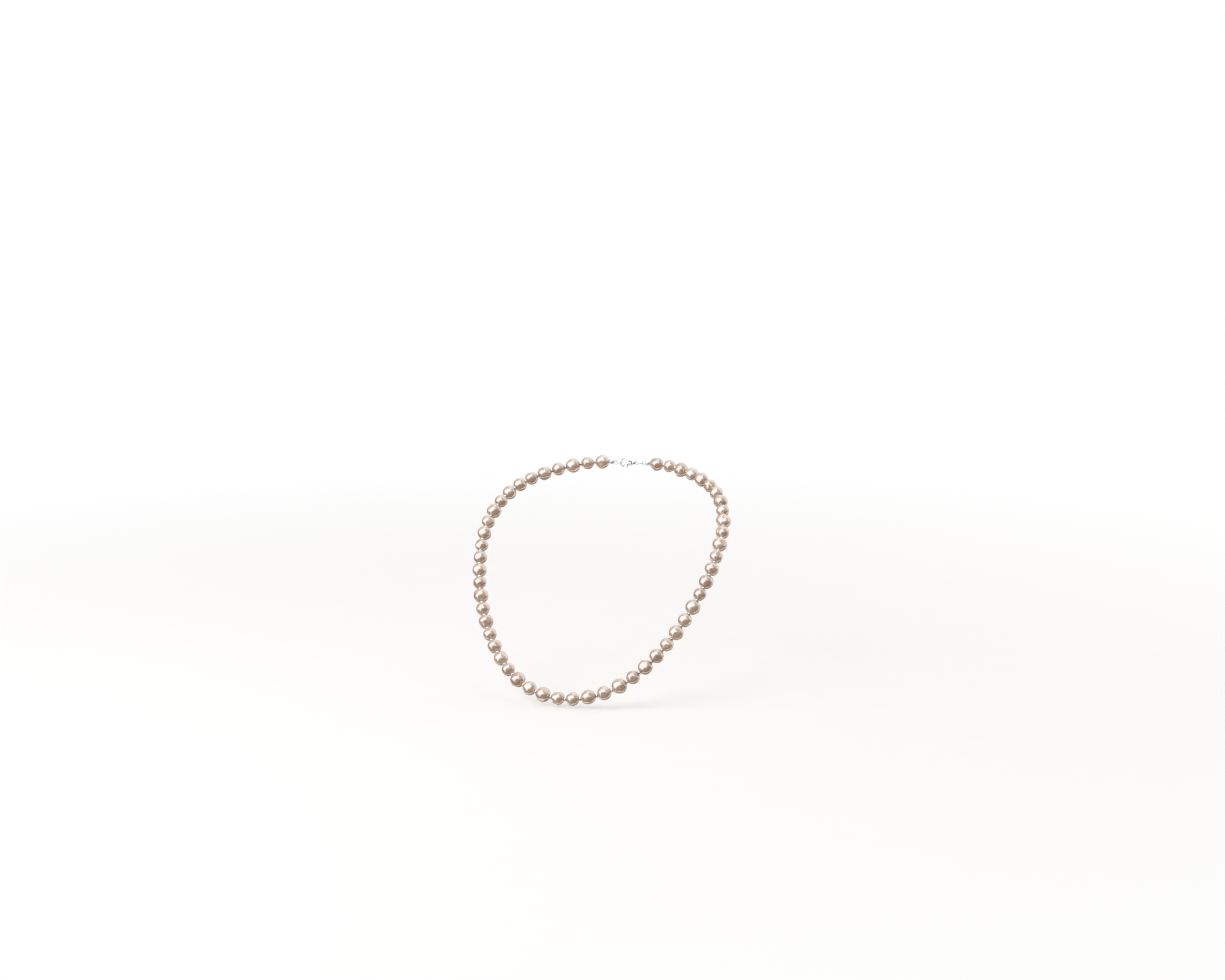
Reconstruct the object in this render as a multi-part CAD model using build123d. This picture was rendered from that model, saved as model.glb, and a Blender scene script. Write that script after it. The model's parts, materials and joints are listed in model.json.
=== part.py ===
from build123d import *
from math import radians, sin
import os

# Pearl necklace as it hangs when worn, in millimetres, +Z up.
# The origin is the middle of the clasp, at the back of the neck.
# The front hangs towards -Y, and +X is the wearer's left.

# Pearls, in matched pairs up both sides from the middle of the front
pearl_diameter = 8.8
pearl_bore = 0.9
pearl_pairs = 27
pearl_size_steps = [0.0, -0.5, 0.4, -0.2, 0.6, -0.5, 0.2]

# Silver spacer beads between the pearls
spacer_diameter = 2.5
spacer_thickness = 0.85
spacer_bore = 0.95
bead_gap = 0.12                        # play between a pearl and a spacer

# Silk thread
thread_diameter = 0.5
thread_break = 0.05                    # space between two lengths of thread at a bend

# Route of one side, from the middle of the front up to the clasp
front_reach = 146.0                    # how far the front stands ahead of the clasp
front_drop = 119.0                     # how far the front hangs below the clasp
drape_points = [
    (0, -front_reach, -front_drop),
    (25, -142, -114),
    (46, -129, -99),
    (62, -109, -77),
    (72, -85, -52),
    (73.5, -57, -28),
    (62, -29, -11.5),
    (38, -9, -3),
]
route_samples = 150
widest_spread = 4.0                    # limits between which the size of the loop is sought
spread_trials = 24

# Bends: each one is a hinge at the knot above the pearl of this number
first_bend = 18
last_bend = 2
pearls_per_bend = 2

# Bead tips, the little cups that hide the end knots
tip_radius = 1.7
tip_wall = 0.35
tip_mouth = 1.5                        # hole that the thread comes in by
tip_eye_radius = 1.35                  # to the middle of the wire
wire_radius = 0.4
tip_sink = 0.3                         # how deep an eye is soldered into its ball
end_knot_radius = 0.95

# Jump rings
ring_radius = 2.1                      # to the middle of the wire
link_play = 0.12

# Trigger clasp, flat in the XZ plane, with its hook towards -X
hook_radius = 3.2
hook_bar = 1.1                         # width of the hook between its window and its rim
clasp_thickness = 1.8
clasp_edge = 0.5                       # rounding of the clasp's rims
shank_length = 6.2                     # from the hook's middle to the tail's middle
tail_radius = 1.3
tail_eye_radius = 1.1
mouth_start = -100                     # directions of the mouth's ends, seen from the hook's middle
mouth_end = -36

# Lever that shuts the mouth, its pin and its spring
lever_thickness = 0.8
lever_width = 0.8
lever_play = 0.1
lever_reach = 3.6                      # from the pin to the middle of the lever's tip
lever_drop = 1.45                      # how far the lever lies below the clasp's middle line
pin_place = 3.2                        # along the shank, from the hook's middle
pin_diameter = 0.6
pin_head_play = 0.03
hub_radius = 0.75
nub_radius = 0.55
nub_place = 1.7                        # from the pin towards the lever's tip
nub_stand = 1.5                        # from the lever's middle line down to the nub's middle
lever_range = 20
spring_thickness = 0.15
spring_width = 0.6
spring_length = 1.2
spring_rise = 0.45                     # above the pin's middle


def pearl_width(number):
    """Diameter of the pearl of this number, counted from the front."""
    step = pearl_size_steps[number % len(pearl_size_steps)]
    return pearl_diameter + step


# Lengths of the linked pieces between the two bead tips, from the wearer's left to the right
tip_to_eye = tip_radius + tip_eye_radius - tip_sink
eye_to_ring = tip_eye_radius + ring_radius - 2 * wire_radius - link_play
ring_to_tail = ring_radius + tail_eye_radius - 2 * wire_radius - link_play
tail_to_hook = tail_eye_radius - tip_sink + tail_radius + shank_length
window_radius = hook_radius - hook_bar
ring_hole = ring_radius - wire_radius
catch_play = ring_hole - (ring_hole**2 - (clasp_thickness / 2) ** 2) ** 0.5 + link_play
hook_to_catch = window_radius - wire_radius - catch_play + ring_radius
fastened_length = 2 * (tip_to_eye + eye_to_ring) + ring_to_tail + tail_to_hook + hook_to_catch
half_clasp = fastened_length / 2

clasp_ring_x = half_clasp - tip_to_eye - eye_to_ring
tail_eye_x = clasp_ring_x - ring_to_tail
hook_x = tail_eye_x - tail_to_hook
catch_ring_x = hook_x - hook_to_catch


def knot_spacing(number):
    """Distance between the knots on the two sides of a pearl."""
    if number == pearl_pairs:
        return spacer_thickness / 2 + 2 * bead_gap + pearl_width(number) + tip_radius
    return spacer_thickness + 2 * bead_gap + pearl_width(number)


def side_route(spread):
    """Points along the curve that one side hangs in."""
    hung = [Vector(*point) * spread for point in drape_points]
    end = Vector(half_clasp, 0, 0)
    curve = Spline(*hung, end, tangents=[(1, 0, 0), (-1, 0, 0)], tangent_scalars=[1, 1])
    return [curve @ (i / route_samples) for i in range(route_samples + 1)]


def point_between(start, end, centre, distance):
    """The point between start and end that lies this far from centre."""
    run = end - start
    offset = start - centre
    a = run.dot(run)
    b = offset.dot(run)
    c = offset.dot(offset) - distance**2
    return start + run * ((max(b * b - a * c, 0) ** 0.5 - b) / a)


def walk_knots(spread):
    """Knots from the front up, and whether all of them fit on the route."""
    route = side_route(spread)
    knots = [route[0]]
    step = 0
    for number in range(1, pearl_pairs + 1):
        wanted = knot_spacing(number)
        while (route[step + 1] - knots[-1]).length < wanted:
            step += 1
            if step == route_samples:
                return knots, False
        knots.append(point_between(route[step], route[step + 1], knots[-1], wanted))
    return knots, True


def hang_strand():
    """Knots of the side on the smallest route that takes them all."""
    narrow = 1 / widest_spread
    wide = widest_spread
    for _ in range(spread_trials):
        spread = (narrow + wide) / 2
        knots, fits = walk_knots(spread)
        if fits:
            wide = spread
        else:
            narrow = spread
    return walk_knots(wide)[0]


# Knot 0 is the middle of the front, and each knot lies above the pearl of its number.
# The last knot is the middle of the bead tip.
knots = hang_strand()
knots[-1] = Vector(half_clasp, 0, 0)


def mirrored(point):
    return Vector(-point.X, point.Y, point.Z)


def on_side(point, side):
    """The point on the wearer's left, or its mirror image on the right."""
    return point if side > 0 else mirrored(point)


def across(start, end, place):
    """A plane at place, square to the line from start to end."""
    return Plane(origin=place, z_dir=end - start)


def pearl(number):
    """A round pearl drilled through."""
    width = pearl_width(number)
    return Sphere(width / 2) - Cylinder(pearl_bore / 2, width)


def strung_pearl(number, side):
    start = on_side(knots[number - 1], side)
    end = on_side(knots[number], side)
    stop = spacer_thickness / 2 + bead_gap
    middle = start + (end - start).normalized() * (stop + pearl_width(number) / 2)
    return across(start, end, middle) * pearl(number)


def spacer():
    """A flat bead with a round rim and a hole for the thread."""
    bore = spacer_bore / 2
    half = spacer_thickness / 2
    flat = spacer_diameter / 2 - half
    profile = make_face(
        [
            Line((bore, -half), (flat, -half)),
            CenterArc((flat, 0), half, -90, 180),
            Line((flat, half), (bore, half)),
            Line((bore, half), (bore, -half)),
        ]
    )
    return revolve(Plane.XZ * profile, Axis.Z)


def strung_spacer(number, side):
    place = knots[number]
    above = knots[number + 1]
    below = knots[number - 1] if number > 0 else mirrored(above)
    direction = (place - below).normalized() + (above - place).normalized()
    return Plane(origin=on_side(place, side), z_dir=on_side(direction, side)) * spacer()


def thread_through(points):
    """A round thread that runs straight from point to point."""
    radius = thread_diameter / 2
    body = None
    for start, end in zip(points, points[1:]):
        length = (end - start).length
        run = across(start, end, (start + end) / 2) * Cylinder(radius, length)
        body = run if body is None else body + run
    for point in points[1:-1]:
        body = body + Pos(point) * Sphere(radius)
    return body


def thread_start(number):
    """Where the thread below a bend begins, clear of the thread above it."""
    toward = (knots[number - 1] - knots[number]).normalized()
    return knots[number] + toward * (thread_diameter / 2 + thread_break)


def side_thread(start, top, bottom):
    """Thread of one side, from its start past the knots down to a bend, where it ends round."""
    points = [start] + [knots[number] for number in range(top, bottom - 1, -1)]
    return thread_through(points) + Pos(points[-1]) * Sphere(thread_diameter / 2)


def on_both_sides(shape):
    return [shape, mirror(shape, about=Plane.YZ)]


def eye(centre_x, radius):
    """A wire ring flat in the XZ plane."""
    return Pos(centre_x, 0, 0) * Rot(90, 0, 0) * Torus(radius, wire_radius)


def jump_ring(centre_x):
    """A wire ring flat in the XY plane."""
    return Pos(centre_x, 0, 0) * Torus(ring_radius, wire_radius)


def bead_tip():
    """Hollow ball round the end knot, with an eye for the jump ring."""
    cup = Sphere(tip_radius) - Sphere(tip_radius - tip_wall)
    thread_hole = Pos(tip_radius, 0, 0) * Rot(0, 90, 0) * Cylinder(tip_mouth / 2, tip_radius)
    loop = eye(-tip_to_eye, tip_eye_radius) - Sphere(tip_radius - tip_wall / 2)
    return cup + loop - thread_hole


def flat_slab(sketch, thickness):
    """A sketch drawn with X and Z, given its thickness along Y about the middle."""
    return extrude(Plane.XZ * sketch, amount=thickness / 2, both=True)


def rounded_bar(start_x, end_x, height, width):
    bar = Pos((start_x + end_x) / 2, height) * Rectangle(abs(end_x - start_x), width)
    return bar + Pos(start_x, height) * Circle(width / 2) + Pos(end_x, height) * Circle(width / 2)


def clasp_outline():
    """Teardrop from the hook's rim to the tail."""
    hook = Circle(hook_radius)
    tail = Pos(shank_length, 0) * Circle(tail_radius)
    return make_hull((hook.edges() + tail.edges()))


def mouth():
    """Wedge that opens the hook at one side."""
    far = 2 * hook_radius
    corners = [Vector(0, 0)]
    for direction in (mouth_start, (mouth_start + mouth_end) / 2, mouth_end):
        corners.append(Vector(far, 0).rotate(Axis.Z, direction))
    return Polygon(*corners, align=None)


pin_x = hook_x + pin_place


def clasp_body():
    slab = flat_slab(Pos(hook_x, 0) * clasp_outline(), clasp_thickness)
    slab = fillet(slab.edges(), clasp_edge)
    cuts = flat_slab(Pos(hook_x, 0) * (Circle(window_radius) + mouth()), 2 * clasp_thickness)
    slot_left = hook_x
    slot_right = pin_x + hub_radius + lever_play + spring_length
    slot_top = -lever_drop + lever_width + pin_place * sin(radians(lever_range))
    slot_bottom = -2 * hook_radius
    slot_sketch = Pos((slot_left + slot_right) / 2, (slot_top + slot_bottom) / 2) * Rectangle(
        slot_right - slot_left, slot_top - slot_bottom
    )
    slot = flat_slab(slot_sketch, lever_thickness + 2 * lever_play)
    pin_hole = Pos(pin_x, 0, -lever_drop) * Rot(90, 0, 0) * Cylinder(pin_diameter / 2, 2 * clasp_thickness)
    return slab - cuts - slot - pin_hole + (eye(tail_eye_x, tail_eye_radius) - slot)


def clasp_lever():
    tip_x = pin_x - lever_reach
    nub_x = pin_x - nub_place
    bar = rounded_bar(tip_x, pin_x, -lever_drop, lever_width)
    nub_neck = Pos(nub_x, -lever_drop - nub_stand / 2) * Rectangle(2 * nub_radius, nub_stand)
    nub = nub_neck + Pos(nub_x, -lever_drop - nub_stand) * Circle(nub_radius)
    hub = Pos(pin_x, -lever_drop) * Circle(hub_radius)
    hole = Pos(pin_x, -lever_drop) * Circle(pin_diameter / 2 + pin_head_play)
    return flat_slab(bar + nub + hub - hole, lever_thickness)


def clasp_pin():
    length = clasp_thickness - 2 * pin_head_play
    return Pos(pin_x, 0, -lever_drop) * Rot(90, 0, 0) * Cylinder(pin_diameter / 2, length)


def clasp_spring():
    """Leaf that presses up on the heel of the lever, behind the pin."""
    start_x = pin_x + hub_radius + lever_play
    leaf = Rectangle(spring_length, spring_thickness, align=(Align.MIN, Align.CENTER))
    return flat_slab(Pos(start_x, spring_rise - lever_drop) * leaf, spring_width)


def write(name, shapes):
    """One STEP file for a node, with one solid for each separate piece."""
    solids = [solid for shape in shapes for solid in shape.solids()]
    piece = solids[0] if len(solids) == 1 else Compound(solids)
    piece.label = name
    export_step(piece, f"parts/{name}.step")


os.makedirs("parts", exist_ok=True)

for number in range(1, pearl_pairs + 1):
    write(f"pearl_pair_{number:02d}", [strung_pearl(number, 1), strung_pearl(number, -1)])

bends = list(range(first_bend, last_bend - 1, -pearls_per_bend))
nape_spacers = [strung_spacer(n, side) for n in range(first_bend, pearl_pairs) for side in (1, -1)]
write("spacer_beads_nape", nape_spacers)
below_end_knot = knots[-1] + (knots[-2] - knots[-1]).normalized() * end_knot_radius
write("silk_thread_nape", on_both_sides(side_thread(below_end_knot, pearl_pairs - 1, first_bend)))
for order, top in enumerate(bends[:-1], start=1):
    bottom = bends[order]
    write(f"spacer_beads_{order}", [strung_spacer(n, side) for n in range(bottom, top) for side in (1, -1)])
    write(f"silk_thread_{order}", on_both_sides(side_thread(thread_start(top), top - 1, bottom)))

front_spacers = [strung_spacer(0, 1)]
front_spacers += [strung_spacer(n, side) for n in range(1, last_bend) for side in (1, -1)]
write(f"spacer_beads_{len(bends)}", front_spacers)
left_half = [thread_start(last_bend)] + [knots[n] for n in range(last_bend - 1, -1, -1)]
right_half = [mirrored(point) for point in reversed(left_half[:-1])]
write(f"silk_thread_{len(bends)}", [thread_through(left_half + right_half)])

left_tip, right_tip = on_both_sides(Pos(half_clasp, 0, 0) * bead_tip())
write("bead_tip_left", [left_tip])
write("bead_tip_right", [right_tip])
write("end_knots", on_both_sides(Pos(half_clasp, 0, 0) * Sphere(end_knot_radius)))
write("clasp_ring", [jump_ring(clasp_ring_x)])
write("catch_ring", [jump_ring(catch_ring_x)])
write("clasp_body", [clasp_body()])
write("clasp_lever", [clasp_lever()])
write("clasp_pin", [clasp_pin()])
write("clasp_spring", [clasp_spring()])

strand_length = fastened_length + 2 * sum(knot_spacing(n) for n in range(1, pearl_pairs + 1))
print("length round the strand", round(strand_length, 1))
print("half width of the loop", round(max(point.X for point in knots), 1))
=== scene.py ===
import json
from math import cos, exp, pi, radians, sin

import bpy
from mathutils import Matrix, Vector, noise
from mathutils.kdtree import KDTree

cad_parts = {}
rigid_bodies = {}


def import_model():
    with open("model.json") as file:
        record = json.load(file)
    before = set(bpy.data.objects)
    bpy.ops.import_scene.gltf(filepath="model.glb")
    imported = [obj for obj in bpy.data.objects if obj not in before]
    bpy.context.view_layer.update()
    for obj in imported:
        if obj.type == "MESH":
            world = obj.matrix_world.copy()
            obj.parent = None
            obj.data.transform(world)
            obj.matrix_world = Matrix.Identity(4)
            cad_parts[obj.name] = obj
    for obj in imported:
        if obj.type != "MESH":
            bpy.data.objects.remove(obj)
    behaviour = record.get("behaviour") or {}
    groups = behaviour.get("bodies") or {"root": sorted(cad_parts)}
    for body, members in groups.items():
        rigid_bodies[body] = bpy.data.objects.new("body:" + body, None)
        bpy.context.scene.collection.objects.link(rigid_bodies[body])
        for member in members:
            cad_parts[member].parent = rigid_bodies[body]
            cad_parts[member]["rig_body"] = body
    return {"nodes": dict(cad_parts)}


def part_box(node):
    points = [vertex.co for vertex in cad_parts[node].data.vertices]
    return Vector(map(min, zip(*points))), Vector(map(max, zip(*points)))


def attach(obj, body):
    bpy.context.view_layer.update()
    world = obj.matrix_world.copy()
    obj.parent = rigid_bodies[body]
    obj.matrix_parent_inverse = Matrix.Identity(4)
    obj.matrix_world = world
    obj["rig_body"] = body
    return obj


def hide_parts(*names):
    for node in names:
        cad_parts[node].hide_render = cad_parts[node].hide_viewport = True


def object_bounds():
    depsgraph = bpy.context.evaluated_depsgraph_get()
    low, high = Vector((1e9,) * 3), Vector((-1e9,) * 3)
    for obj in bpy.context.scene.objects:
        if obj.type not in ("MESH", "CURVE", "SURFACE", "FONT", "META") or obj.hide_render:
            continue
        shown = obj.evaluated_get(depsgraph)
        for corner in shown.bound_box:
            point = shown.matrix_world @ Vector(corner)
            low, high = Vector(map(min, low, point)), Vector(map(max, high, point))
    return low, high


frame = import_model()
nodes = frame["nodes"]
cadBox = [list(corner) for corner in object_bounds()]
print("frame loaded,", len(nodes), "nodes")

scene = bpy.context.scene
scene.view_settings.view_transform = "Standard"

camera = {
    "azimuth": 15.3,          # degrees round from straight in front, towards the wearer's left
    "elevation": 8.9,
    "distance": 1.6,          # metres from the clasp
    "right": 0.0114,          # the clasp stands this far right of the picture's middle
    "up": 0.0183,             # and this far above it
    "lens": 71.5,             # millimetres
    "nearest": 0.01,
    "farthest": 60,
}


def placeCamera(settings):
    a = radians(settings["azimuth"])
    e = radians(settings["elevation"])
    right = Vector((cos(a), sin(a), 0))
    ahead = Vector((-sin(a) * cos(e), cos(a) * cos(e), -sin(e)))
    up = right.cross(ahead)
    data = bpy.data.cameras.new("studioCamera")
    data.lens = settings["lens"]
    data.clip_start = settings["nearest"]
    data.clip_end = settings["farthest"]
    eye = bpy.data.objects.new("studioCamera", data)
    eye.location = -right * settings["right"] - up * settings["up"] - ahead * settings["distance"]
    eye.rotation_mode = "QUATERNION"
    eye.rotation_quaternion = Matrix((right, up, -ahead)).transposed().to_quaternion()
    scene.collection.objects.link(eye)
    scene.camera = eye


placeCamera(camera)
print("camera placed")


class Wire:
    # a socket that takes part in sums, each of which adds a Math node
    def __init__(self, tree, socket):
        self.tree = tree
        self.socket = socket

    def maths(self, operation, first, second):
        return self.tree.add("ShaderNodeMath", {"operation": operation}, {0: first, 1: second})

    def __add__(self, other):
        return self.maths("ADD", self, other)

    def __radd__(self, other):
        return self.maths("ADD", other, self)

    def __sub__(self, other):
        return self.maths("SUBTRACT", self, other)

    def __rsub__(self, other):
        return self.maths("SUBTRACT", other, self)

    def __mul__(self, other):
        return self.maths("MULTIPLY", self, other)

    def __rmul__(self, other):
        return self.maths("MULTIPLY", other, self)


class NodeTree:
    # the nodes of one material or of the world, under construction
    def __init__(self, tree):
        self.tree = tree
        tree.nodes.clear()

    def add(self, kind, settings=None, sockets=None, output=0):
        node = self.tree.nodes.new(kind)
        for key, value in (settings or {}).items():
            setattr(node, key, value)
        for key, value in (sockets or {}).items():
            if isinstance(value, Wire):
                self.tree.links.new(value.socket, node.inputs[key])
            else:
                node.inputs[key].default_value = value
        return Wire(self, node.outputs[output]) if node.outputs else node

    def blend(self, share, first, second):
        # one colour turning into another as share goes from 0 to 1
        return self.add(
            "ShaderNodeMix", {"data_type": "RGBA"}, {0: share, 6: first, 7: second}, output=2
        )

    def restingPoint(self):
        return self.add("ShaderNodeTexCoord", output="Object")

    def cloud(self, scale, detail=2.0, roughness=0.5):
        # soft noise from 0 to 1, scale being its blotches to the metre
        values = {"Vector": self.restingPoint(), "Scale": scale, "Detail": detail, "Roughness": roughness}
        return self.add("ShaderNodeTexNoise", None, values)

    def steps(self, value, low, high):
        # 0 below low and 1 above high, with a smooth turn between
        values = {"Value": value, "From Min": low, "From Max": high}
        return self.add("ShaderNodeMapRange", {"interpolation_type": "SMOOTHSTEP"}, values)

    def along(self, vector):
        # dot product of a place, as seen from the clasp, with a vector
        values = {0: self.restingPoint(), 1: vector}
        return self.add("ShaderNodeVectorMath", {"operation": "DOT_PRODUCT"}, values, output="Value")

    def relief(self, height, strength, distance):
        values = {"Strength": strength, "Distance": distance, "Height": height}
        return self.add("ShaderNodeBump", None, values)

    def finish(self, shader):
        self.add("ShaderNodeOutputMaterial", None, {"Surface": shader})


def newMaterial(name):
    material = bpy.data.materials.new(name)
    material.use_nodes = True
    return material, NodeTree(material.node_tree)


def tone(red, green, blue):
    return (red, green, blue, 1.0)


white = tone(1.0, 1.0, 1.0)

# in the finishes, blotches and grains are counted to the metre, and depths are in metres

nacreFinish = {
    "cream": tone(0.54, 0.40, 0.29),
    "taupe": tone(0.385, 0.255, 0.163),
    "tintBlotches": 75.0,     # few enough for about one tint to each pearl
    "tintTurn": (0.3, 0.7),   # where in the noise cream turns to taupe
    "rose": tone(0.49, 0.315, 0.22),
    "roseBlotches": 52.5,
    "roseShare": 0.35,
    "bloomBlotches": 700.0,   # the milky clouds within a pearl
    "bloomShare": 0.3,
    "bloomRoughness": 0.1,
    "metallic": 0.25,
    "roughness": 0.20,
    "index": 1.6,
    "coatRoughness": 0.07,
    "coatIndex": 2.2,
    "film": 310.0,            # nanometres, for the faint play of colour
    "filmIndex": 1.45,
    "peelGrain": 2400.0,      # the skin's fine ripple
    "peel": 0.10,
    "peelDepth": 0.0001,
}


def makeNacre(look):
    material, t = newMaterial("nacre")
    tint = t.steps(t.cloud(look["tintBlotches"], detail=1.0), *look["tintTurn"])
    body = t.blend(tint, look["cream"], look["taupe"])
    blush = t.cloud(look["roseBlotches"], detail=0.0)
    body = t.blend(look["roseShare"] * blush, body, look["rose"])
    bloom = t.cloud(look["bloomBlotches"], detail=3.0)
    body = t.blend(look["bloomShare"] * bloom, body, look["cream"])
    peel = t.cloud(look["peelGrain"], detail=3.0)
    skin = {
        "Base Color": body,
        "Metallic": look["metallic"],
        # the noise lies about 0.5
        "Roughness": look["roughness"] + (bloom - 0.5) * look["bloomRoughness"],
        "IOR": look["index"],
        "Coat Weight": 1.0,
        "Coat Roughness": look["coatRoughness"],
        "Coat IOR": look["coatIndex"],
        "Thin Film Thickness": look["film"],
        "Thin Film IOR": look["filmIndex"],
        "Normal": t.relief(peel, look["peel"], look["peelDepth"]),
    }
    t.finish(t.add("ShaderNodeBsdfPrincipled", None, skin))
    return material


silverFinish = {
    "bright": tone(0.82, 0.81, 0.80),
    "tarnish": tone(0.58, 0.56, 0.53),
    "tarnishBlotches": 900.0,
    "tarnishTurn": (0.5, 0.8),
    "tarnishShare": 0.5,
    "roughness": 0.12,
    "wearBlotches": 380.0,
    "wearRoughness": 0.16,
    "scratchGrain": 5200.0,
    "scratches": 0.10,
    "scratchDepth": 0.00005,
}


def makeSilver(look):
    material, t = newMaterial("polishedSilver")
    wear = t.cloud(look["wearBlotches"], detail=4.0)
    stain = t.steps(t.cloud(look["tarnishBlotches"], detail=3.0), *look["tarnishTurn"])
    scratches = t.cloud(look["scratchGrain"], detail=4.0, roughness=0.75)
    metal = {
        "Base Color": t.blend(look["tarnishShare"] * stain, look["bright"], look["tarnish"]),
        "Metallic": 1.0,
        "Roughness": look["roughness"] + wear * look["wearRoughness"],
        "Normal": t.relief(scratches, look["scratches"], look["scratchDepth"]),
    }
    t.finish(t.add("ShaderNodeBsdfPrincipled", None, metal))
    return material


steelFinish = {
    "light": tone(0.60, 0.60, 0.62),
    "dark": tone(0.40, 0.40, 0.43),
    "grain": 2600.0,
    "roughness": 0.25,
    "grainRoughness": 0.15,
    "lines": 0.1,
    "lineDepth": 0.00005,
}


def makeSteel(look):
    material, t = newMaterial("springSteel")
    grain = t.cloud(look["grain"], detail=3.0)
    metal = {
        "Base Color": t.blend(grain, look["light"], look["dark"]),
        "Metallic": 1.0,
        "Roughness": look["roughness"] + grain * look["grainRoughness"],
        "Normal": t.relief(grain, look["lines"], look["lineDepth"]),
    }
    t.finish(t.add("ShaderNodeBsdfPrincipled", None, metal))
    return material


silkFinish = {
    # light and shade are painted: the twist's crests get the lighter colour and its grooves the darker
    # one, as painted shade where the relief sinks
    "light": tone(0.84, 0.78, 0.68),
    "shade": tone(0.52, 0.45, 0.37),
    "plies": 900.0,
    "plyWander": 1.0,
    "fuzzGrain": 9000.0,
    "fuzzHeight": 0.3,        # as a share of the plies' height
    "roughness": 0.5,
    "fuzzRoughness": 0.2,
    "sheen": 0.4,
    "twist": 0.6,
    "twistDepth": 0.00008,
}


def makeSilk(look):
    material, t = newMaterial("twistedSilk")
    ply = {"Vector": t.restingPoint(), "Scale": look["plies"], "Distortion": look["plyWander"]}
    twist = t.add(
        "ShaderNodeTexWave", {"wave_type": "BANDS", "bands_direction": "DIAGONAL"}, ply, output="Fac"
    )
    fuzz = t.cloud(look["fuzzGrain"])
    height = twist + fuzz * look["fuzzHeight"]
    fibre = {
        # painted shade: the base colour follows the twist's relief, darker in the grooves between the
        # plies and lighter on their crests
        "Base Color": t.blend(twist, look["shade"], look["light"]),
        "Roughness": look["roughness"] + fuzz * look["fuzzRoughness"],
        "Sheen Weight": look["sheen"],
        "Normal": t.relief(height, look["twist"], look["twistDepth"]),
    }
    t.finish(t.add("ShaderNodeBsdfPrincipled", None, fibre))
    return material


nacre = makeNacre(nacreFinish)
silver = makeSilver(silverFinish)
steel = makeSteel(steelFinish)
silk = makeSilk(silkFinish)
print("finishes made")


def roundPoints(radius, height, count):
    # a ring of points round the Z axis
    angles = [2 * pi * i / count for i in range(count)]
    return [Vector((cos(angle) * radius, sin(angle) * radius, height)) for angle in angles]


def placed(rings, place, axis):
    # rings made about the Z axis, moved to a place and turned to an axis
    turn = axis.to_track_quat("Z", "Y").to_matrix()
    return [[place + turn @ point for point in ring] for ring in rings]


def skinOver(name, rings, closed=False):
    # skin over rings of points, each ring of the same count or a single point;
    # it faces outwards where the rings climb and their points run anticlockwise seen from above
    points = [point for ring in rings for point in ring]
    starts = []
    count = 0
    for ring in rings:
        starts.append(count)
        count += len(ring)
    faces = []
    pairs = len(rings) if closed else len(rings) - 1
    for i in range(pairs):
        h = (i + 1) % len(rings)
        low, high = starts[i], starts[h]
        around = max(len(rings[i]), len(rings[h]))
        for j in range(around):
            k = (j + 1) % around
            if len(rings[i]) == 1:
                faces.append((low, high + k, high + j))
            elif len(rings[h]) == 1:
                faces.append((low + j, low + k, high))
            else:
                faces.append((low + j, low + k, high + k, high + j))
    mesh = bpy.data.meshes.new(name)
    mesh.from_pydata(points, [], faces)
    mesh.update()
    return mesh


def arcPoints(centre, radius, start, end, steps):
    points = []
    for i in range(steps + 1):
        angle = radians(start + (end - start) * i / steps)
        points.append((centre[0] + cos(angle) * radius, centre[1] + sin(angle) * radius))
    return points


def mount(mesh, material, body, replaced):
    # gives a mesh its finish and sets it on its body in place of the solid
    for polygon in mesh.polygons:
        polygon.use_smooth = True
    mesh.materials.append(material)
    piece = bpy.data.objects.new(mesh.name, mesh)
    scene.collection.objects.link(piece)
    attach(piece, body)
    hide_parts(replaced)


def bodyOf(name):
    return nodes[name]["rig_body"]


def middleOf(points):
    low = Vector([min(p[i] for p in points) for i in range(3)])
    high = Vector([max(p[i] for p in points) for i in range(3)])
    return (low + high) / 2


strandReading = {
    "beadReach": 0.004,       # metres; wider than a spacer or a knot, less than the way to the next
    "sameBead": 0.001,        # metres; a turning nearer than this to a bead is its own
}


def separateBeads(name):
    # middles of the separate solids of a node
    groups = []
    for vertex in nodes[name].data.vertices:
        for group in groups:
            if (vertex.co - group[0]).length < strandReading["beadReach"]:
                group.append(vertex.co)
                break
        else:
            groups.append([vertex.co])
    return [middleOf(group) for group in groups]


spacerNodes = sorted(name for name in nodes if name.startswith("spacer_beads"))
pearlNodes = sorted(name for name in nodes if name.startswith("pearl_pair"))
spacerPlaces = {name: separateBeads(name) for name in spacerNodes}
endKnots = separateBeads("end_knots")
# the thread bends at the spacers and at its end knots, and the pearls lie straight between them
turnings = [place for places in spacerPlaces.values() for place in places] + endKnots
print("strand read,", len(turnings), "turnings")


def threadLine(place):
    # direction of the thread at a bead, along the line of the nearest turnings on its two sides
    near = sorted(turnings, key=lambda turning: (turning - place).length)
    near = [turning for turning in near if (turning - place).length > strandReading["sameBead"]]
    return (near[1] - near[0]).normalized()


pearlShape = {
    "around": 56,
    "along": 40,
    "mouth": 0.00045,         # radius of the drilled hole
    "lip": 0.00006,           # rounding of the hole's edge
    "hollows": 0.18,          # depth of the broad flats in the skin, as a share of the radius
    "hollowSize": 0.95,
    "hollowEdge": 0.15,       # the higher, the more of the skin is flattened
    "hollowFall": 1.4,        # above 1, the flats start softly
    "dents": 0.014,
    "dentSize": 2.6,
    "pearlSteps": (3.7, 1.9),  # how far the noise moves on from pearl to pearl, along two axes
    "sideStep": 11.3,         # and from side to side, along the third
    "endHold": 4,             # the higher, the nearer to the drill holes the flats reach
}


def unevenness(direction, seed, shape):
    broad = noise.noise(direction * shape["hollowSize"] + seed)
    fine = noise.noise(direction * shape["dentSize"] - seed)
    hollow = max(0, shape["hollowEdge"] - broad) ** shape["hollowFall"]
    return shape["dents"] * fine - shape["hollows"] * hollow


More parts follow.
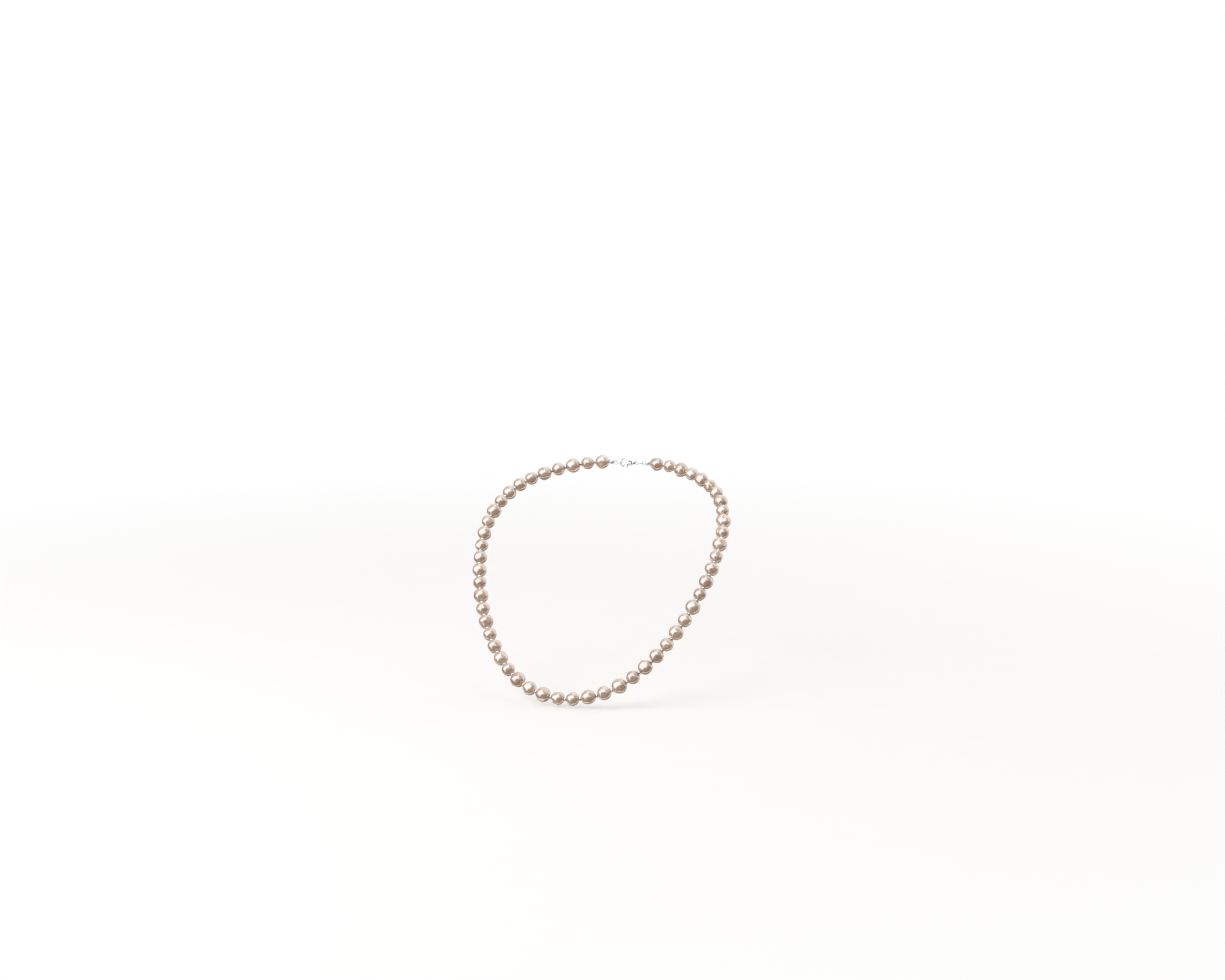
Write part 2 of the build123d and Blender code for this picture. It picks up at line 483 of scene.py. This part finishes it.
def makePearl(name, side, shape):
    number = int(name[-2:])
    points = [v.co for v in nodes[name].data.vertices if v.co.x * side > 0]
    place = middleOf(points)
    radius = max((point - place).length for point in points)
    first, third = shape["pearlSteps"]
    seed = Vector((number * first, side * shape["sideStep"], number * third))
    edge = (shape["mouth"] + shape["lip"]) / radius
    rays = []
    for i in range(shape["along"] + 1):
        dip = pi - edge - (pi - 2 * edge) * i / shape["along"]
        rays += roundPoints(sin(dip), cos(dip), shape["around"])
    heights = [unevenness(ray, seed, shape) for ray in rays]
    crest = max(heights)
    # the skin touches the true ball at its highest place and at both drill holes
    skin = []
    for ray, height in zip(rays, heights):
        sunk = (crest - height) * (1 - ray.z ** shape["endHold"])
        skin.append(ray * radius * (1 - sunk))
    rings = [skin[i : i + shape["around"]] for i in range(0, len(skin), shape["around"])]
    top = radius * cos(edge)
    for height in (top - shape["lip"], shape["lip"] - top):
        rings.append(roundPoints(shape["mouth"], height, shape["around"]))
    label = "Left" if side > 0 else "Right"
    mesh = skinOver(f"pearl{label}{number:02d}", placed(rings, place, threadLine(place)), closed=True)
    mount(mesh, nacre, bodyOf(name), name)


for name in pearlNodes:
    makePearl(name, 1, pearlShape)
    makePearl(name, -1, pearlShape)
print("pearls made,", 2 * len(pearlNodes))


spacerShape = {
    "radius": 0.00125,
    "half": 0.000425,         # half the thickness
    "bore": 0.000475,         # radius of the bore
    "lip": 0.00005,           # rounding of the bore's edges
    "dish": 0.00004,          # how far each flat is hollowed
    "around": 36,
    "rimSteps": 12,
    "lipSteps": 3,
}


def spacerProfile(shape):
    half = shape["half"]
    flat = shape["radius"] - half
    lip = shape["lip"]
    inner = shape["bore"] + lip
    between = (inner + flat) / 2
    profile = arcPoints((flat, 0), half, -90, 90, shape["rimSteps"])
    profile.append((between, half - shape["dish"]))
    profile += arcPoints((inner, half - lip), lip, 90, 180, shape["lipSteps"])
    profile += arcPoints((inner, lip - half), lip, 180, 270, shape["lipSteps"])
    profile.append((between, shape["dish"] - half))
    return profile


def makeSpacers(name, shape):
    rings = [roundPoints(radius, height, shape["around"]) for radius, height in spacerProfile(shape)]
    for count, place in enumerate(spacerPlaces[name], start=1):
        mesh = skinOver(f"{name}.{count:02d}", placed(rings, place, threadLine(place)), closed=True)
        mount(mesh, silver, bodyOf(name), name)


for name in spacerNodes:
    makeSpacers(name, spacerShape)
print("spacers made,", sum(len(places) for places in spacerPlaces.values()))


beadTipShape = {
    "radius": 0.0017,
    "wall": 0.00035,
    "mouth": 0.00075,         # radius of the hole that the thread comes in by
    "seam": 0.00006,          # depth of the groove where the two cups meet
    "seamWidth": 0.12,
    "eyeRadius": 0.00135,     # to the middle of the wire
    "wire": 0.0004,
    "sink": 0.0003,           # how deep the eye is soldered into the ball
    "around": 48,
    "along": 24,
}


def wireLoop(name, place, across, radius, wire, gap=0.0, gapAt=0.0, along=64, around=16):
    # a round wire bent into a ring; gap is the angle left open at its joint
    rings = []
    for i in range(along + 1 if gap else along):
        angle = radians(gapAt + gap / 2) + (2 * pi - radians(gap)) * i / along
        out = Vector((cos(angle), sin(angle), 0))
        ring = []
        for j in range(around):
            swing = -2 * pi * j / around
            ring.append(out * (radius + cos(swing) * wire) + Vector((0, 0, sin(swing) * wire)))
        rings.append(ring)
    if gap:
        rings = [[middleOf(rings[0])]] + rings + [[middleOf(rings[-1])]]
    return skinOver(name, placed(rings, place, across), closed=not gap)


def cupRings(radius, seam, shape):
    # rings of a cup from its closed end to its mouth, pressed in by a seam down two sides
    edge = shape["mouth"] / radius
    rings = [[Vector((0, 0, -radius))]]
    for i in range(1, shape["along"] + 1):
        dip = pi - (pi - edge) * i / shape["along"]
        width = radius * sin(dip)
        ring = []
        for point in roundPoints(width, radius * cos(dip), shape["around"]):
            fromSeam = point.y / width / shape["seamWidth"]
            ring.append(point * (1 - seam / radius * exp(-fromSeam**2)))
        rings.append(ring)
    return rings


def makeBeadTip(name, shape):
    side = 1 if name.endswith("left") else -1
    ball = max(endKnots, key=lambda knot: knot.x * side)
    outer = shape["radius"]
    outside = cupRings(outer, shape["seam"], shape)
    inside = cupRings(outer - shape["wall"], 0, shape)
    rings = placed(outside + inside[::-1], ball, Vector((side, 0, 0)))
    cup = skinOver(name + ".cup", rings)
    mount(cup, silver, bodyOf(name), name)
    eyeAway = outer + shape["eyeRadius"] - shape["sink"]
    place = ball - Vector((side * eyeAway, 0, 0))
    eye = wireLoop(name + ".eye", place, Vector((0, 1, 0)), shape["eyeRadius"], shape["wire"])
    mount(eye, silver, bodyOf(name), name)


makeBeadTip("bead_tip_left", beadTipShape)
makeBeadTip("bead_tip_right", beadTipShape)
print("bead tips made")


jumpRingShape = {
    "radius": 0.0021,         # to the middle of the wire
    "wire": 0.0004,
    "gap": 1.6,               # degrees left open at the joint
    "gapAt": {"clasp_ring": 70, "catch_ring": 250},
    "along": 80,
}


def makeJumpRing(name, shape):
    low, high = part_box(name)
    mesh = wireLoop(
        name + ".wire",
        (low + high) / 2,
        Vector((0, 0, 1)),
        shape["radius"],
        shape["wire"],
        gap=shape["gap"],
        gapAt=shape["gapAt"][name],
        along=shape["along"],
    )
    mount(mesh, silver, bodyOf(name), name)


for name in ("clasp_ring", "catch_ring"):
    makeJumpRing(name, jumpRingShape)
print("jump rings made")


castShapes = {
    # grain is the size of the mesh's faces, rim the thickness at the rims as a share of the full
    # thickness, and crown how far in from a rim the full thickness is reached;
    # smoothing and evening are counts of rounds
    "clasp_body": {"grain": 0.00009, "smoothing": 6, "rim": 0.58, "crown": 0.0022, "evening": 24},
    "clasp_lever": {"grain": 0.00005, "smoothing": 6, "rim": 0.72, "crown": 0.0005, "evening": 8},
}
castPull = 0.5                # how far each round of smoothing moves a point
wallLean = 0.5                # a point is on a wall if its normal has less than this across the slab


def modified(mesh, modifiers):
    # the mesh with modifiers applied, each given as its kind and its settings
    rough = bpy.data.objects.new("rough", mesh)
    scene.collection.objects.link(rough)
    for kind, settings in modifiers:
        modifier = rough.modifiers.new(kind.lower(), kind)
        for key, value in settings.items():
            setattr(modifier, key, value)
    bpy.context.view_layer.update()
    depsgraph = bpy.context.evaluated_depsgraph_get()
    done = bpy.data.meshes.new_from_object(rough.evaluated_get(depsgraph))
    bpy.data.objects.remove(rough)
    return done


def makeCast(name, shape):
    # a cast piece with crowned sides, from the plain slab of the solid
    remesh = ("REMESH", {"mode": "VOXEL", "voxel_size": shape["grain"]})
    smooth = ("SMOOTH", {"factor": castPull, "iterations": shape["smoothing"]})
    mesh = modified(nodes[name].data.copy(), [remesh, smooth])
    walls = [v.co for v in mesh.vertices if abs(v.normal.y) < wallLean]
    tree = KDTree(len(walls))
    for count, place in enumerate(walls):
        tree.insert(place, count)
    tree.balance()
    for vertex in mesh.vertices:
        away = tree.find(vertex.co)[2]    # metres to the nearest wall
        inward = min(1, away / shape["crown"])
        vertex.co.y *= shape["rim"] + (1 - shape["rim"]) * sin(inward * pi / 2)
    # the crown is evened out across the slab alone, so its outline stays
    even = {"factor": castPull, "iterations": shape["evening"], "use_x": False, "use_z": False}
    mesh = modified(mesh, [("SMOOTH", even)])
    mesh.name = name + ".cast"
    mesh.materials.clear()
    mount(mesh, silver, bodyOf(name), name)


for name, shape in castShapes.items():
    makeCast(name, shape)
print("clasp cast")


def dress(names, material):
    # keeps solids as they are and gives them their finish
    for name in names:
        mesh = nodes[name].data
        mesh.materials.clear()
        mesh.materials.append(material)


dress(["clasp_pin"], silver)
dress([name for name in nodes if name.startswith("silk_thread")] + ["end_knots"], silk)
dress(["clasp_spring"], steel)
print("pin, thread and spring dressed")


studio = {
    "middle": Vector((0, -0.07, -0.06)),
    "floorGap": 0.0012,       # below the lowest pearl
    "floorReach": 8.0,
    "paper": tone(0.88, 0.85, 0.82),
    "paperMottle": tone(0.85, 0.82, 0.79),
    "mottleBlotches": 60.0,
    "fadeStart": 0.12,        # metres out from the clasp where the floor starts to go white
    "fadeEnd": 0.9,
    "nearGlow": 0.48,         # share of plain white in the floor close by
    "ambient": 0.34,
    "tentReach": 5.0,
    "tentRings": 32,
    "tentAround": 48,
    "tentShade": tone(0.24, 0.20, 0.175),
    "tentRoof": tone(0.88, 0.85, 0.82),
    "roofEdge": (0.0, 0.5),
    # the windows and the card are marked off on the tent by how far out they lie each way,
    # as shares of its reach, with a soft turn between the two numbers of each edge
    "windowLight": tone(2.7, 3.1, 3.4),
    "backWindowLight": tone(1.6, 1.75, 1.85),
    "windowAcross": Vector((-0.45, 0.80, 0.41)),
    "windowEdges": ((-0.68, -0.52), (0.38, 0.54)),
    "windowAlong": Vector((0.81, 0.17, 0.56)),
    "windowEnds": ((-0.90, -0.74), (0.55, 0.75)),
    "windowFront": Vector((-0.38, -0.58, 0.72)),
    "windowStart": (0.0, 0.2),
    "cardLight": tone(2.0, 2.1, 2.1),
    "cardMiddle": Vector((-0.02, 0.75, -0.66)),
    "cardEdges": ((0.50, 0.58), (0.68, 0.76)),
    "cardTop": (-0.42, -0.28),
    "lamps": {
        # place, width in metres and power in watts
        "keyLamp": ((-0.66, -0.80, 0.62), 1.4, 14.0),
        "fillLamp": ((1.1, -0.7, 0.5), 1.0, 2.0),
        "topLamp": ((0.1, 0.1, 1.4), 1.2, 4.0),
        "backLamp": ((0.66, 0.90, 0.62), 1.4, 7.5),
    },
}


def onStage(name, mesh):
    thing = bpy.data.objects.new(name, mesh)
    scene.collection.objects.link(thing)
    return thing


def layFloor(setting):
    level = cadBox[0][2] - setting["floorGap"]
    reach = setting["floorReach"]
    sides = ((-reach, -reach), (reach, -reach), (reach, reach), (-reach, reach))
    mesh = bpy.data.meshes.new("floor")
    mesh.from_pydata([(x, y, level) for x, y in sides], [], [(0, 1, 2, 3)])
    floor = onStage("floor", mesh)
    floor.visible_glossy = False      # polished things mirror the tent, not the floor
    material, t = newMaterial("paleFloor")
    away = t.add("ShaderNodeVectorMath", {"operation": "LENGTH"}, {0: t.restingPoint()}, output="Value")
    far = t.steps(away, setting["fadeStart"], setting["fadeEnd"])
    seen = t.add("ShaderNodeLightPath", output="Is Camera Ray")
    mottle = t.blend(t.cloud(setting["mottleBlotches"]), setting["paper"], setting["paperMottle"])
    paper = t.add("ShaderNodeBsdfDiffuse", None, {"Color": mottle})
    glow = t.add("ShaderNodeEmission", None, {"Color": white, "Strength": 1.0})
    share = seen * (setting["nearGlow"] + far * (1 - setting["nearGlow"]))
    t.finish(t.add("ShaderNodeMixShader", None, {0: share, 1: paper, 2: glow}))
    mesh.materials.append(material)


def makeWorld(setting):
    # full white where it is seen or mirrored, and dimmer as the light that falls on things
    world = bpy.data.worlds.new("studioWorld")
    world.use_nodes = True
    scene.world = world
    t = NodeTree(world.node_tree)
    seen = t.add("ShaderNodeLightPath", output="Is Camera Ray")
    mirrored = t.add("ShaderNodeLightPath", output="Is Glossy Ray")
    through = t.add("ShaderNodeLightPath", output="Is Transmission Ray")
    shown = t.add("ShaderNodeMath", {"operation": "MAXIMUM"}, {0: seen + mirrored, 1: through})
    strength = setting["ambient"] + shown * (1 - setting["ambient"])
    shade = t.add("ShaderNodeBackground", None, {"Color": white, "Strength": strength})
    t.add("ShaderNodeOutputWorld", None, {"Surface": shade})


def hangLamp(name, target, place, width, power):
    data = bpy.data.lights.new(name, "AREA")
    data.shape = "DISK"
    data.size = width
    data.energy = power
    lamp = bpy.data.objects.new(name, data)
    lamp.location = place
    lamp.visible_camera = False
    lamp.visible_glossy = False       # polished things mirror the tent, not the lamps
    lamp.rotation_mode = "QUATERNION"
    lamp.rotation_quaternion = (target - Vector(place)).to_track_quat("-Z", "Y")
    scene.collection.objects.link(lamp)


def outward(tree, setting, direction):
    # how far out a place on the tent lies in a direction, as a share of the tent's reach
    return tree.along(direction / setting["tentReach"])


def strip(tree, setting, direction, edges):
    # a band of the tent, from 0 outside its two edges to 1 between them
    out = outward(tree, setting, direction)
    return tree.steps(out, *edges[0]) - tree.steps(out, *edges[1])


def window(tree, setting, facing):
    # a broad slanting window, its twin being the same thing turned half round
    turn = Matrix.Diagonal((facing, facing, 1))
    front = outward(tree, setting, turn @ setting["windowFront"])
    across = strip(tree, setting, turn @ setting["windowAcross"], setting["windowEdges"])
    along = strip(tree, setting, turn @ setting["windowAlong"], setting["windowEnds"])
    return across * along * tree.steps(front, *setting["windowStart"])


def tentMesh(setting):
    rings = [[Vector((0, 0, -1))]]
    for i in range(1, setting["tentRings"]):
        rise = pi * i / setting["tentRings"] - pi / 2
        rings.append(roundPoints(cos(rise), sin(rise), setting["tentAround"]))
    rings.append([Vector((0, 0, 1))])
    middle, reach = setting["middle"], setting["tentReach"]
    return skinOver("lightTent", [[middle + point * reach for point in ring] for ring in rings])


def raiseTent(setting):
    # a light tent seen in reflections alone: pale above, shaded to the sides and below,
    # with a window in front, a dimmer one behind and a curved white card behind and below
    mesh = tentMesh(setting)
    tent = onStage("lightTent", mesh)
    tent.visible_camera = False
    tent.visible_diffuse = False
    tent.visible_shadow = False
    tent.visible_transmission = False
    material, t = newMaterial("tentCloth")
    height = outward(t, setting, Vector((0, 0, 1)))
    below = 1 - t.steps(height, *setting["cardTop"])
    card = strip(t, setting, setting["cardMiddle"], setting["cardEdges"]) * below
    cloth = t.blend(t.steps(height, *setting["roofEdge"]), setting["tentShade"], setting["tentRoof"])
    cloth = t.blend(window(t, setting, -1), cloth, setting["backWindowLight"])
    cloth = t.blend(window(t, setting, 1), cloth, setting["windowLight"])
    cloth = t.blend(card, cloth, setting["cardLight"])
    t.finish(t.add("ShaderNodeEmission", None, {"Color": cloth, "Strength": 1.0}))
    mesh.materials.append(material)


layFloor(studio)
makeWorld(studio)
raiseTent(studio)
for name, lamp in studio["lamps"].items():
    hangLamp(name, studio["middle"], *lamp)
print("studio set")
